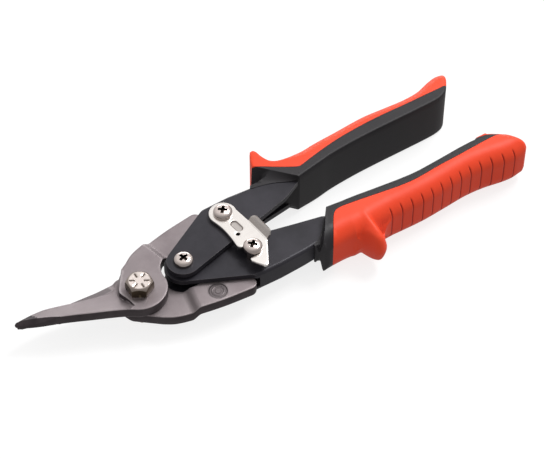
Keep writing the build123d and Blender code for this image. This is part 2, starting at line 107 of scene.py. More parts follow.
class Shader:
    """A node material under construction."""

    def __init__(self, name):
        self.material = bpy.data.materials.new(name)
        self.material.use_nodes = True
        self.tree = self.material.node_tree
        self.bsdf = self.tree.nodes["Principled BSDF"]
        self.place = self.node("ShaderNodeTexCoord").outputs["Object"]

    def node(self, kind, inputs=None, **settings):
        return add_node(self.tree, kind, inputs, **settings)

    def set(self, **values):
        for key, value in values.items():
            self.bsdf.inputs[key.replace("_", " ")].default_value = value
        return self

    def noise(self, scale, detail=4.0, roughness=0.6, stretch=None):
        place = self.place
        if stretch:
            place = self.node("ShaderNodeMapping", {"Scale": stretch, "Vector": place}).outputs["Vector"]
        sockets = {"Scale": scale, "Detail": detail, "Roughness": roughness, "Vector": place}
        return self.node("ShaderNodeTexNoise", sockets).outputs["Fac"]

    def edges(self, low=0.52, high=0.60):
        """1 on convex edges and 0 elsewhere, from the mesh's pointiness."""
        pointed = self.node("ShaderNodeNewGeometry").outputs["Pointiness"]
        sockets = {"From Min": low, "From Max": high, "Value": pointed}
        return self.node("ShaderNodeMapRange", sockets).outputs["Result"]

    def rubbed(self, radius):
        """1 within about this radius of a sharp edge, and 0 elsewhere."""
        rounded_normal = self.node("ShaderNodeBevel", {"Radius": radius}, samples=4).outputs["Normal"]
        plain_normal = self.node("ShaderNodeNewGeometry").outputs["Normal"]
        sockets = {0: rounded_normal, 1: plain_normal}
        alike = self.node("ShaderNodeVectorMath", sockets, operation="DOT_PRODUCT").outputs["Value"]
        sockets = {"From Min": 0.995, "From Max": 0.90, "Value": alike}
        return self.node("ShaderNodeMapRange", sockets).outputs["Result"]

    def attribute(self, name):
        """A value that a mesh carries at its points. It is 0 on a mesh without it."""
        return self.node("ShaderNodeAttribute", attribute_name=name).outputs["Fac"]

    def ramp(self, fac, low, high):
        made = self.node("ShaderNodeValToRGB", {"Fac": fac})
        for element, position, colour in zip(made.color_ramp.elements, (0.3, 0.7), (low, high)):
            element.position = position
            element.color = (*colour, 1)
        return made.outputs["Color"]

    def mix(self, fac, a, b):
        return self.node("ShaderNodeMix", {"Factor": fac, "A": a, "B": b}, data_type="RGBA").outputs["Result"]

    def range(self, fac, low, high):
        sockets = {"To Min": low, "To Max": high, "Value": fac}
        return self.node("ShaderNodeMapRange", sockets).outputs["Result"]

    def colour(self, out):
        self.tree.links.new(out, self.bsdf.inputs["Base Color"])

    def roughness(self, out):
        self.tree.links.new(out, self.bsdf.inputs["Roughness"])

    def bump(self, height, strength, distance):
        sockets = {"Strength": strength, "Distance": distance, "Height": height}
        made = self.node("ShaderNodeBump", sockets)
        self.tree.links.new(made.outputs["Normal"], self.bsdf.inputs["Normal"])


def blasted_steel():
    """Forged blade steel, bead-blasted to a warm grey, with bare edges, and darkened where painted shade is marked."""
    s = Shader("blasted_steel").set(Metallic=0.8)
    cloud = s.noise(55, 5)
    base = s.ramp(cloud, (0.235, 0.200, 0.208), (0.325, 0.285, 0.292))
    grain = s.noise(2600, 3, 0.7)
    speckled = s.mix(s.range(grain, 0.0, 0.40), base, (0.10, 0.085, 0.09, 1))
    worn = s.mix(s.edges(), speckled, (0.46, 0.42, 0.43, 1))
    # Painted shade: near-black mixed in where the mesh marks it, in the badge and along the lower jaw's relieved band.
    s.colour(s.mix(s.attribute("painted_shade"), worn, (0.035, 0.030, 0.032, 1)))
    s.roughness(s.range(cloud, 0.40, 0.52))
    s.bump(grain, 0.25, 0.00006)
    return s.material


def shaded_side_metal(name, cloud, low, high, rough, grain, bump, **values):
    """A darker material that paints shade on the sides of the metal, mottled between two colours. cloud and grain are
    arguments of noise.
    """
    s = Shader(name).set(**values)
    patches = s.noise(*cloud)
    s.colour(s.ramp(patches, low, high))
    s.roughness(s.range(patches, *rough))
    s.bump(s.noise(*grain), *bump)
    return s.material


def black_oxide():
    """Blackened plate: satin, faintly mottled, brown-grey where its edges have rubbed."""
    s = Shader("black_oxide").set(Metallic=0.25, Specular_IOR_Level=0.35)
    cloud = s.noise(70, 6)
    base = s.ramp(cloud, (0.017, 0.016, 0.021), (0.030, 0.028, 0.036))
    s.colour(s.mix(s.rubbed(0.00035), base, (0.085, 0.078, 0.080, 1)))
    s.roughness(s.range(cloud, 0.34, 0.46))
    s.bump(s.noise(1500, 3), 0.12, 0.00004)
    return s.material


def moulded_black():
    """Hard black polypropylene with a fine spark-eroded grain."""
    s = Shader("moulded_black").set(Specular_IOR_Level=0.30)
    cloud = s.noise(40, 4)
    base = s.ramp(cloud, (0.011, 0.010, 0.012), (0.020, 0.018, 0.021))
    s.colour(s.mix(s.edges(0.52, 0.62), base, (0.045, 0.042, 0.046, 1)))
    s.roughness(s.range(cloud, 0.44, 0.56))
    s.bump(s.noise(3200, 2), 0.22, 0.00006)
    return s.material


def soft_orange():
    """Orange-red thermoplastic rubber: matte, lighter on its edges, with painted shade darkening its grooves."""
    s = Shader("soft_orange").set(Specular_IOR_Level=0.28)
    cloud = s.noise(28, 5)
    base = s.ramp(cloud, (0.76, 0.050, 0.013), (0.84, 0.062, 0.018))
    worn = s.mix(s.edges(0.51, 0.60), base, (0.88, 0.080, 0.030, 1))
    # Painted shade: dark red in the grooves of the lower cover.
    s.colour(s.mix(s.attribute("painted_shade"), worn, (0.30, 0.010, 0.004, 1)))
    s.roughness(s.range(s.noise(90, 4), 0.42, 0.54))
    s.bump(s.noise(2400, 2), 0.20, 0.00006)
    return s.material


def bright_plate(name, colour, roughness, shade_colour):
    """Nickel or zinc plating with faint streaks, darkened by painted shade in its recesses, round its rims and over
    the latch's tab.
    """
    s = Shader(name).set(Metallic=1.0)
    streak = s.noise(300, 4, 0.55, stretch=(0.25, 1, 1))
    base = s.mix(s.range(s.noise(60, 3), 0.0, 0.15), (*colour, 1), (0.40, 0.28, 0.20, 1))
    # Painted shade: the darker given colour is mixed in where the mesh marks it.
    s.colour(s.mix(s.attribute("painted_shade"), base, (*shade_colour, 1)))
    s.roughness(s.range(streak, roughness * 0.8, roughness * 1.3))
    s.bump(streak, 0.05, 0.00003)
    return s.material


def turned_steel():
    """Plain turned and hardened steel of the sleeves, spacers and spring."""
    s = Shader("turned_steel").set(Metallic=1.0)
    lines = s.noise(900, 2, 0.5, stretch=(0.1, 0.1, 1))
    s.colour(s.ramp(lines, (0.16, 0.155, 0.155), (0.26, 0.25, 0.245)))
    s.roughness(s.range(lines, 0.28, 0.40))
    s.bump(lines, 0.08, 0.00003)
    return s.material


STEEL = blasted_steel()
# Painted shade: the blades' walls and ground tip take this dark material, for the shade on the faces that turn away
# from the light.
SHADED_BLADE_WALLS = shaded_side_metal(
    "shaded_blade_walls", cloud=(120, 5), low=(0.042, 0.034, 0.038), high=(0.080, 0.066, 0.070), rough=(0.46, 0.62),
    grain=(1100, 4), bump=(0.30, 0.00008), Metallic=0.6, Specular_IOR_Level=0.3,
)
BLACK = black_oxide()
HARD = moulded_black()
SOFT = soft_orange()
SCREW = bright_plate("nickel_screw", (0.72, 0.64, 0.61), 0.20, shade_colour=(0.020, 0.014, 0.012))
LATCH = bright_plate("bright_latch", (0.92, 0.89, 0.86), 0.22, shade_colour=(0.080, 0.040, 0.026))
BOLT = bright_plate("zinc_bolt", (0.84, 0.76, 0.72), 0.26, shade_colour=(0.10, 0.070, 0.050))
# Painted shade: the bolt head's six sides take this dark brown material.
SHADED_BOLT_SIDES = shaded_side_metal(
    "shaded_bolt_sides", cloud=(160, 4), low=(0.050, 0.036, 0.022), high=(0.120, 0.090, 0.058), rough=(0.26, 0.40),
    grain=(900, 3), bump=(0.10, 0.00004), Metallic=0.9,
)
TURNED = turned_steel()


# ---------------------------------------------------------------- plan curves
def line(start, end, step=0.8):
    """Points from start up to, but not at, end."""
    count = max(1, round(hypot(end[0] - start[0], end[1] - start[1]) / step))
    return [
        (start[0] + (end[0] - start[0]) * i / count, start[1] + (end[1] - start[1]) * i / count)
        for i in range(count)
    ]


def arc(start, through, end, step=0.6):
    """Points of the arc through three points, without its end."""
    (ax, ay), (bx, by), (cx, cy) = start, through, end
    d = 2 * (ax * (by - cy) + bx * (cy - ay) + cx * (ay - by))
    aa, bb, cc = ax * ax + ay * ay, bx * bx + by * by, cx * cx + cy * cy
    ux = (aa * (by - cy) + bb * (cy - ay) + cc * (ay - by)) / d
    uy = (aa * (cx - bx) + bb * (ax - cx) + cc * (bx - ax)) / d
    radius = hypot(ax - ux, ay - uy)
    first = atan2(ay - uy, ax - ux)
    swing = (atan2(cy - uy, cx - ux) - first) % (2 * pi)
    if (atan2(by - uy, bx - ux) - first) % (2 * pi) > swing:
        swing -= 2 * pi
    count = max(3, round(abs(swing) * radius / step))
    return [
        (ux + radius * cos(first + swing * i / count), uy + radius * sin(first + swing * i / count))
        for i in range(count)
    ]


def curve(points, step=0.7):
    """A smooth curve through points, without its last point."""
    found = []
    count = len(points)
    for i in range(count - 1):
        p0, p1, p2, p3 = (Vector(points[max(0, min(count - 1, i + k))]) for k in (-1, 0, 1, 2))
        parts = max(1, round((p2 - p1).length / step))
        for j in range(parts):
            t = j / parts
            found.append(tuple(
                0.5 * (2 * p1 + (p2 - p0) * t + (2 * p0 - 5 * p1 + 4 * p2 - p3) * t * t
                       + (3 * p1 - p0 - 3 * p2 + p3) * t ** 3)
            ))
    return found


def circle(centre, radius, count=48):
    return [
        (centre[0] + radius * cos(2 * pi * i / count), centre[1] + radius * sin(2 * pi * i / count))
        for i in range(count)
    ]


def turned(centre, angle, u, v):
    """The plan point at u along this direction from a centre and v to the left of it."""
    return centre[0] + u * cos(angle) - v * sin(angle), centre[1] + u * sin(angle) + v * cos(angle)


def local(centre, angle, x, y):
    """How far a plan point lies along this direction from a centre, and how far to the left of it."""
    x, y = x - centre[0], y - centre[1]
    return x * cos(angle) + y * sin(angle), y * cos(angle) - x * sin(angle)


def mirrored(points, side):
    """Points given on the upper side, put on this side."""
    return [(x, side * y) for x, y in points]


def level_at(points, x):
    """The second coordinate of a row of points at this first coordinate."""
    for (x0, y0), (x1, y1) in zip(points, points[1:]):
        if min(x0, x1) <= x <= max(x0, x1) and x0 != x1:
            return y0 + (y1 - y0) * (x - x0) / (x1 - x0)
    return points[0][1] if abs(x - points[0][0]) < abs(x - points[-1][0]) else points[-1][1]


def distance_to(row, x, y):
    """Distance from a point to a row of points."""
    best = 1e9
    for (x0, y0), (x1, y1) in zip(row, row[1:]):
        if min(x0, x1) - x > best or x - max(x0, x1) > best:
            continue
        dx, dy = x1 - x0, y1 - y0
        t = max(0.0, min(1.0, ((x - x0) * dx + (y - y0) * dy) / (dx * dx + dy * dy or 1.0)))
        best = min(best, hypot(x - x0 - t * dx, y - y0 - t * dy))
    return best


def ease(t):
    t = max(0.0, min(1.0, t))
    return t * t * (3 - 2 * t)


def area(loop):
    return sum(a[0] * b[1] - b[0] * a[1] for a, b in zip(loop, loop[1:] + loop[:1])) / 2


def inside(point, loop):
    x, y = point
    found = False
    for (x0, y0), (x1, y1) in zip(loop, loop[1:] + loop[:1]):
        if (y0 > y) != (y1 > y) and x < x0 + (x1 - x0) * (y - y0) / (y1 - y0):
            found = not found
    return found


# ---------------------------------------------------------------- meshes
def is_wall(polygon):
    return abs(polygon.normal.z) < 0.30


def finish_mesh(name, verts, faces, body, slot, material, replaces, sharp, side=None, on_side=is_wall,
                painted_shade=None):
    """Makes the object, in metres, with its normals, and hands it to the frame.

    side is a second material, for the faces that on_side picks; here it is always a darker material that paints shade
    on those faces. The last argument gives 0 to 1 for a point in millimetres: how far painted shade darkens the colour
    there."""
    mesh = bpy.data.meshes.new(name)
    mesh.from_pydata([(x * MM, y * MM, (z + MID) * MM) for x, y, z in verts], [], faces)
    work = bmesh.new()
    work.from_mesh(mesh)
    bmesh.ops.remove_doubles(work, verts=work.verts, dist=2e-6)
    bmesh.ops.dissolve_degenerate(work, edges=work.edges, dist=1e-6)
    bmesh.ops.recalc_face_normals(work, faces=work.faces)
    work.to_mesh(mesh)
    work.free()
    mesh.polygons.foreach_set("use_smooth", [True] * len(mesh.polygons))
    mesh.set_sharp_from_angle(angle=radians(sharp))
    piece = bpy.data.objects.new(name, mesh)
    bpy.context.scene.collection.objects.link(piece)
    mesh.materials.append(material)
    if side:
        mesh.materials.append(side)
        for polygon in mesh.polygons:
            polygon.material_index = int(on_side(polygon))
    # Painted shade: a value at each point, 0 to 1, that darkens the material's colour there.
    if painted_shade:
        values = mesh.attributes.new("painted_shade", "FLOAT", "POINT")
        places = [(v.co.x / MM, v.co.y / MM, v.co.z / MM - MID) for v in mesh.vertices]
        values.data.foreach_set("value", [painted_shade(*place) for place in places])
    if body:
        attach(piece, body)
    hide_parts(replaces)
    return piece


def inward(loop):
    """Unit vectors pointing into the material from each point of a loop."""
    found = []
    count = len(loop)
    for i in range(count):
        back = Vector(loop[i]) - Vector(loop[i - 1])
        ahead = Vector(loop[(i + 1) % count]) - Vector(loop[i])
        side = Vector((-back.y, back.x)).normalized() + Vector((-ahead.y, ahead.x)).normalized()
        found.append(side.normalized() / max(0.55, side.length / 2))
    return found


class Slab:
    """A solid between two height functions over a plan with holes, with rounded edges.

    Loops run anticlockwise outside and clockwise round holes, so that the material is on the left."""

    RING_STEPS = (0.0, 22.5, 45.0, 67.5, 90.0)

    def __init__(self, outer, holes=(), grid=1.0, rounding=0.4, steps=None, extra=(), drop=True):
        self.loops = [outer if area(outer) > 0 else outer[::-1]]
        self.loops += [hole if area(hole) < 0 else hole[::-1] for hole in holes]
        self.rounding = rounding if callable(rounding) else lambda x, y: rounding
        self.steps = steps or self.RING_STEPS
        self.drop = drop
        self.grid = grid
        self.extra = extra
        self.points, self.drops = [], []
        self.triangles = []
        self.fill()

    def keep(self, point):
        return inside(point, self.loops[0]) and not any(inside(point, hole) for hole in self.loops[1:])

    def near(self, point, reach):
        """Whether a point is already taken within reach."""
        cell = (int(point[0] // 1), int(point[1] // 1))
        for dx in (-1, 0, 1):
            for dy in (-1, 0, 1):
                for other in self.cells.get((cell[0] + dx, cell[1] + dy), ()):
                    if (other[0] - point[0]) ** 2 + (other[1] - point[1]) ** 2 < reach * reach:
                        return True
        return False

    def add(self, point, drop=0.0):
        self.points.append(point)
        self.drops.append(drop)
        self.cells.setdefault((int(point[0] // 1), int(point[1] // 1)), []).append(point)

    def fill(self):
        self.cells = {}
        edges = []
        self.spans = []
        for loop in self.loops:
            first = len(self.points)
            for x, y in loop:
                self.add((x, y), self.rounding(x, y) if self.drop else 0.0)
            count = len(loop)
            edges += [(first + i, first + (i + 1) % count) for i in range(count)]
            self.spans.append((first, count))
        for loop in self.loops:
            normals = inward(loop)
            for step in self.steps[1:]:
                for (x, y), normal in zip(loop, normals):
                    radius = self.rounding(x, y)
                    inset = radius * (1 - cos(radians(step)))
                    point = (x + normal.x * inset, y + normal.y * inset)
                    spacing = 0.35 * radius * radians(self.steps[1]) * sin(radians(step)) + 0.02
                    if self.keep(point) and not self.near(point, spacing):
                        self.add(point, radius * (1 - sin(radians(step))) if self.drop else 0.0)
        for point in self.extra:
            if self.keep(point) and not self.near(point, 0.06):
                self.add(point)
        xs = [p[0] for p in self.loops[0]]
        ys = [p[1] for p in self.loops[0]]
        y, row = min(ys), 0
        while y < max(ys):
            x = min(xs) + (self.grid / 2 if row % 2 else 0)
            while x < max(xs):
                if self.keep((x, y)) and not self.near((x, y), min(0.55 * self.grid, 0.95)):
                    self.add((x, y))
                x += self.grid
            y += self.grid * 0.866
            row += 1
        result = delaunay_2d_cdt([Vector(p) for p in self.points], edges, [], 0, 1e-7)
        triangles, origin = result[2], result[3]
        back = [ids[0] if ids else -1 for ids in origin]
        for triangle in triangles:
            ids = [back[i] for i in triangle]
            if min(ids) < 0 or len(set(ids)) < 3:
                continue
            centre = tuple(sum(self.points[i][k] for i in ids) / 3 for k in (0, 1))
            if self.keep(centre):
                self.triangles.append(ids)

    def solid(self, top, bottom, wall=(0.5,)):
        """Vertices and faces. top and bottom give heights, and wall the rows of points on the walls,
        as parts of the height from the top."""
        count = len(self.points)
        places = list(zip(self.points, self.drops))
        verts = [(x, y, top(x, y) - drop) for (x, y), drop in places]
        verts += [(x, y, bottom(x, y) + drop) for (x, y), drop in places]
        faces = [tuple(t) for t in self.triangles]
        faces += [tuple(i + count for i in reversed(t)) for t in self.triangles]
        for first, size in self.spans:
            rows = [[first + i for i in range(size)]]
            for part in wall:
                rows.append(list(range(len(verts), len(verts) + size)))
                for i in range(size):
                    high, low = verts[first + i], verts[first + count + i]
                    verts.append((high[0], high[1], high[2] + (low[2] - high[2]) * part))
            rows.append([first + count + i for i in range(size)])
            for upper, lower in zip(rows, rows[1:]):
                for i in range(size):
                    j = (i + 1) % size
                    faces.append((upper[i], lower[i], lower[j], upper[j]))
        return verts, faces


def skin(rings, size, first=0):
    """Faces of a closed tube: this many rings of this many points, with both ends closed."""
    faces = []
    for ring in range(rings - 1):
        a = first + ring * size
        for i in range(size):
            j = (i + 1) % size
            faces.append((a + i, a + j, a + size + j, a + size + i))
    last = first + (rings - 1) * size
    return faces + [tuple(range(first, first + size)), tuple(range(last, last + size))]


def turned_solid(centre, profile, segments, first):
    """A solid of revolution from (radius, height) pairs. Its points are numbered from first."""
    verts = []
    for radius, height in profile:
        verts += [(x, y, height) for x, y in circle(centre, radius, segments)]
    return verts, skin(len(profile), segments, first)


# ---------------------------------------------------------------- blades
BLADE_DEPTH = heights("upper_blade")[1]
SLIDE = 0.03
TAIL_HALF = BLADE_DEPTH / 2
JOGGLE_FROM, JOGGLE_LONG, JOGGLE_TURN = 18.0, 4.5, radians(12)
BORE_R, SLEEVE_HOLE_R = 4.06, 3.6


def blade_plan(side, jaw):
    """Plan of a blade: the boss, neck and tail are the same on both, and the jaw differs."""
    def at(*points):
        return mirrored(points, side)

    loop = curve(at((2.0, 15.9), (7.2, 19.1), (16.0, 21.7), (29.0, 24.3), (42.4, 25.9)))
    loop += arc(*at((42.4, 25.9), (45.6, 24.9), (46.6, 22.2)))
    loop += line(*at((46.6, 22.2), (47.4, 16.9)))
    loop += arc(*at((47.4, 16.9), (58.35, 12.4), (50.4, 6.2)))
    loop += line(*at((50.4, 6.2), (27.2, 9.66)))
    loop += arc(*at((27.2, 9.66), (14.5, 6.03), (12.7, -1.48)))
    loop += arc(*at((12.7, -1.48), (7.6, -9.55)), jaw[0])
    loop += curve(jaw)
    loop += line(jaw[-1], at((2.0, 15.9))[0])
    return loop


def joggle(x, y, side):
    """How far the tail has moved towards the shear plane here."""
    far = x * cos(JOGGLE_TURN) + side * y * sin(JOGGLE_TURN)
    return (TAIL_HALF + SLIDE) * ease((far - JOGGLE_FROM) / JOGGLE_LONG)


UPPER_JAW = [
    (-8.2, -9.0), (-12.0, -6.5), (-18.5, -3.2), (-25.0, -0.1), (-31.5, 3.1), (-38.5, 6.3),
    (-45.5, 9.2), (-50.4, 11.6), (-53.6, 13.6), (-55.1, 15.2), (-54.6, 16.3), (-52.0, 16.8),
    (-46.0, 16.9), (-40.0, 16.3), (-32.4, 14.1), (-27.0, 12.3), (-22.0, 10.9), (-16.0, 9.2),
    (-11.5, 8.0), (-8.6, 9.4), (-4.0, 12.6),
]
LOWER_JAW = [
    (-3.0, 13.6), (-6.0, 14.0), (-14.4, 14.1), (-21.4, 14.7), (-28.0, 15.3), (-36.0, 16.3),
    (-44.0, 17.1), (-50.0, 16.9), (-53.4, 16.3), (-54.4, 15.2), (-52.6, 13.7), (-47.0, 11.8),
    (-40.0, 9.9), (-32.0, 7.6), (-24.0, 5.0), (-18.0, 2.6), (-11.6, -4.0),
]
ARRIS = UPPER_JAW[:10]
EDGE = UPPER_JAW[10:19]
LOW_ARRIS = LOWER_JAW[1:9]
LOW_EDGE = LOWER_JAW[9:17]
FACET_DROP, TIP_FROM = 4.3, -37.5
TIP_FALL, TIP_CURVE, TIP_SLOPE, TIP_THIN = 0.42, 0.010, 0.72, 0.7
BOSS_FACE = [
    (-1.6, 13.6), (-2.4, 12.2), (-5.6, 8.2), (-8.4, 4.3),
    (-9.0, 2.6), (-8.5, 0.4), (-7.5, -3.0), (-7.0, -7.0),
]
FILLET_WIDE, FILLET_FLOOR = 3.2, 0.6


def jaw_facet(x, y, arris, edge):
    """Depth of the jaw: full at its outer arris, thin at its cutting edge, ground off at the tip."""
    outer, inner = level_at(arris, x), level_at(edge, x)
    across = max(0.0, min(1.0, (y - outer) / (inner - outer) if abs(inner - outer) > 0.3 else 0.5))
    facet = BLADE_DEPTH - FACET_DROP * across
    beyond = max(0.0, TIP_FROM - x)
    ground = BLADE_DEPTH - TIP_FALL * beyond + TIP_CURVE * beyond * beyond + TIP_SLOPE * abs(y - outer)
    return max(TIP_THIN, min(facet, ground))


def tip_crease():
    """Plan points on both sides of the line where the tip's grinding meets the facet."""
    found = []
    for i in range(67):
        beyond = 0.25 * i
        x = TIP_FROM - beyond
        outer, inner = level_at(ARRIS, x), level_at(EDGE, x)
        fall = FACET_DROP / max(0.3, abs(inner - outer))
        away = (TIP_FALL * beyond - TIP_CURVE * beyond * beyond) / (TIP_SLOPE + fall)
        found += [(x, outer + away + off) for off in (-0.15, 0.0, 0.15)]
    return found


def boss_distance(x, y):
    """Distance from the edge of the boss's flat face, towards the jaw. Negative on the face."""
    best = None
    for (x0, y0), (x1, y1) in zip(BOSS_FACE, BOSS_FACE[1:]):
        away = distance_to([(x0, y0), (x1, y1)], x, y)
        side = (x - x0) * (y1 - y0) - (y - y0) * (x1 - x0)
        if best is None or away < abs(best) - 1e-6:
            best = away if side > 0 else -away
    return best


def upper_top(x, y):
    """Flat on the boss, hollow in front of it, then the jaw's facet. The joggled tail is behind."""
    depth = BLADE_DEPTH - joggle(x, y, UPPER)
    away = boss_distance(x, y) if x < 0 and y > -7.0 else -1.0
    if x < -9.4 or (x < -7.5 and y <= -3.0):
        away = max(0.0, away)
    if away < 0 or x >= 0 or y <= -7.0 and x > -9.4:
        return depth
    facet = jaw_facet(x, y, ARRIS, EDGE)
    if away >= FILLET_WIDE:
        return facet
    fall = sqrt(max(0.0, 1 - (1 - away / FILLET_WIDE) ** 2))
    return max(facet, BLADE_DEPTH - (BLADE_DEPTH - FILLET_FLOOR) * fall)


def upper_bottom(x, y):
    return SLIDE - joggle(x, y, UPPER)


LAND_RELIEF, LAND_WIDE = 2.0, 4.6
BADGE, BADGE_R, BADGE_DEEP = (29.2, -18.7), 4.3, 0.40
BADGE_DOT_R, BADGE_RING_R, BADGE_RAISED = 1.2, 2.7, 0.28


def land_wide(x):
    """Width of the lower jaw's relieved band, which runs out at the tip."""
    return LAND_WIDE * min(1.0, (x + 56.0) / 26.0)


def lower_top(x, y):
    """Flat where it shears, relieved along the outer edge, with the stamped badge on the tail."""
    height = -SLIDE + joggle(x, y, LOWER)
    if x < -4.0:
        wide = land_wide(x)
        beyond = y - (level_at(LOW_ARRIS, x) - wide)
        if beyond > 0:
            height -= LAND_RELIEF * (beyond / max(0.5, wide)) * ease((-4.0 - x) / 3.0)
    away = hypot(x - BADGE[0], y - BADGE[1])
    if away < BADGE_R:
        height -= BADGE_DEEP * ease((BADGE_R - away) / 0.35)
        height += BADGE_RAISED * (1 - ease((away - BADGE_DOT_R) / 0.35))
        height += BADGE_RAISED * (1 - ease((abs(away - BADGE_RING_R) - 0.15) / 0.3))
    return height


def lower_bottom(x, y):
    depth = -BLADE_DEPTH + joggle(x, y, LOWER)
    facet = -jaw_facet(x, y, LOW_ARRIS, LOW_EDGE)
    return depth + (max(depth, facet) - depth) * ease((-8.0 - x) / 5.0)


def beside(row, offsets):
    """Points at these distances to the left of each point of a row but the last."""
    found = []
    for (x0, y0), (x1, y1) in zip(row, row[1:]):
        angle = atan2(y1 - y0, x1 - x0)
        found += [turned((x0, y0), angle, 0, offset) for offset in offsets]
    return found


def boss_crease():
    """Plan points beside the edge of the boss's face and down its fillet."""
    found = []
    for start, end in zip(BOSS_FACE, BOSS_FACE[1:]):
        offsets = (0.12, -0.02, -0.12, -0.3, -0.6, -1.0, -1.6, -2.3, -3.2)
        found += beside(line(start, end, 0.4) + [end], offsets)
    return found


def dark_side(polygon):
    """Whether a blade's face is one of its walls or its ground tip; these faces take the darker material that paints
    shade on them.
    """
    steep = 0.86 if polygon.center.x < TIP_FROM * MM else 0.30
    return abs(polygon.normal.z) < steep


def stamped(x, y, z):
    """Painted shade of the lower blade: round and in its badge, and on the relieved band of its jaw."""
    if z <= 0:
        return 0.5 if x < -9.0 and -LAND_RELIEF - 0.1 < z < -0.25 else 0.0
    away = hypot(x - BADGE[0], y - BADGE[1])
    rim = ease(1 - abs(away - BADGE_R + 0.2) / 0.4)
    return max(rim, 0.45 * ease((BADGE_R - away) / 0.4))


def make_blades():
    slab = Slab(
        blade_plan(UPPER, UPPER_JAW),
        [circle(BLADE_PIVOT, BORE_R), circle(UPPER_TAIL, SLEEVE_HOLE_R + 0.2)],
        grid=0.8, rounding=0.35, extra=boss_crease() + tip_crease(),
    )
    finish_mesh("upper_blade_forging", *slab.solid(upper_top, upper_bottom), "upper_blade", "blade_steel",
                STEEL, "upper_blade", sharp=28, side=SHADED_BLADE_WALLS, on_side=dark_side)

    badge = []
    for radius in (4.3, 4.12, 3.95, 3.2, 2.95, 2.7, 2.45, 2.2, 1.55, 1.38, 1.2, 0.6):
        badge += circle(BADGE, radius, 40)
    relief = beside(curve([(x, y - land_wide(x)) for x, y in LOW_ARRIS]), (-0.15, 0.0, 0.15))
    slab = Slab(
        blade_plan(LOWER, LOWER_JAW),
        [circle(BLADE_PIVOT, BORE_R), circle(LOWER_TAIL, SLEEVE_HOLE_R)],
        grid=0.8, rounding=0.35, extra=badge + relief,
    )
    finish_mesh("lower_blade_forging", *slab.solid(lower_top, lower_bottom), "lower_blade", "blade_steel",
                STEEL, "lower_blade", sharp=28, side=SHADED_BLADE_WALLS, on_side=dark_side, painted_shade=stamped)


make_blades()

# ---------------------------------------------------------------- screws and the bolt
RECESS_HALF, RECESS_WIDE, RECESS_DEEP = 2.2, 0.74, 1.6
PAN_R, PAN_HIGH, PAN_EDGE = 4.45, 2.65, 0.75


def pan_head(name, centre, node, neck, turn):
    """A pan-head screw: a domed head with a tapered cross recess, its neck and its shank."""
    low, high = heights(node)
    base = high - PAN_HIGH
    angle = radians(turn)

    def arms(x, y):
        """How far a point lies along the nearer arm of the recess, and off that arm's middle."""
        u, v = local(centre, angle, x, y)
        return max(abs(u), abs(v)), min(abs(u), abs(v))

    def top(x, y):
        away = hypot(x - centre[0], y - centre[1]) / PAN_R
        height = base + PAN_EDGE + (PAN_HIGH - PAN_EDGE) * sqrt(max(0.0, 1 - min(1.0, away) ** 2.6))
        long, wide = arms(x, y)
        reach = min((RECESS_HALF - long) / 0.45, (RECESS_WIDE - wide) / 0.18)
        return height - RECESS_DEEP * max(0.0, min(1.0, reach))

    # Painted shade: on the neck and shank under the head, a painted dark reflection round the dome's rim, and dark in
    # the cross recess.
    def shade_amount(x, y, z):
        if z <= base:
            return 0.5
        long, wide = arms(x, y)
        rim = 0.35 * ease((hypot(long, wide) - 2.9) / 0.9)
        return max(rim, ease(min((RECESS_HALF - long) / 0.2, (RECESS_WIDE - wide) / 0.12)))

    extra = []
    for a in [i * 0.14 for i in range(-17, 18)]:
        for b in (-0.78, -0.73, -0.62, -0.54, -0.27, 0.0, 0.27, 0.54, 0.62, 0.73, 0.78):
            for u, v in ((a, b), (b, a)):
                extra.append(turned(centre, angle, u, v))
    rim = circle(centre, PAN_R, 64)
    slab = Slab(rim, grid=0.55, rounding=2.4, steps=(0, 9, 18, 28, 40, 55, 72, 90), extra=extra, drop=False)
    verts, faces = slab.solid(top, lambda x, y: base, (0.9,))
    profile = [(neck[0], base + 0.2), (neck[0], neck[1]), (2.18, neck[1]), (2.18, low + 0.4), (1.8, low)]
    more, rings = turned_solid(centre, profile, 36, len(verts))
    body = frame["nodes"][node]["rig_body"]
    finish_mesh(name, verts + more, faces + rings, body, "screw_steel", SCREW, node, sharp=40, painted_shade=shade_amount)


HANDLE_FACE = heights("upper_handle_plate")[1]
LOWER_FACE = heights("lower_handle_plate")[1]
pan_head("handle_screw_turned", HANDLE_PIVOT, "handle_pivot_screw", (2.18, HANDLE_FACE - 1.0), 12)
pan_head("latch_screw_turned", UPPER_TAIL, "latch_screw", (3.18, HANDLE_FACE + 0.05), 48)
pan_head("catch_screw_turned", LOWER_TAIL, "catch_screw", (3.0, LOWER_FACE + 0.05), 40)

BOLT_AF, BOLT_TURN, CHAMFER_R, CHAMFER_TAN = 11.3, radians(27), 4.75, 0.42
MARKS, MARK_FROM, MARK_TO, MARK_HALF, MARK_DEEP = 6, 1.9, 4.6, 0.38, 0.40


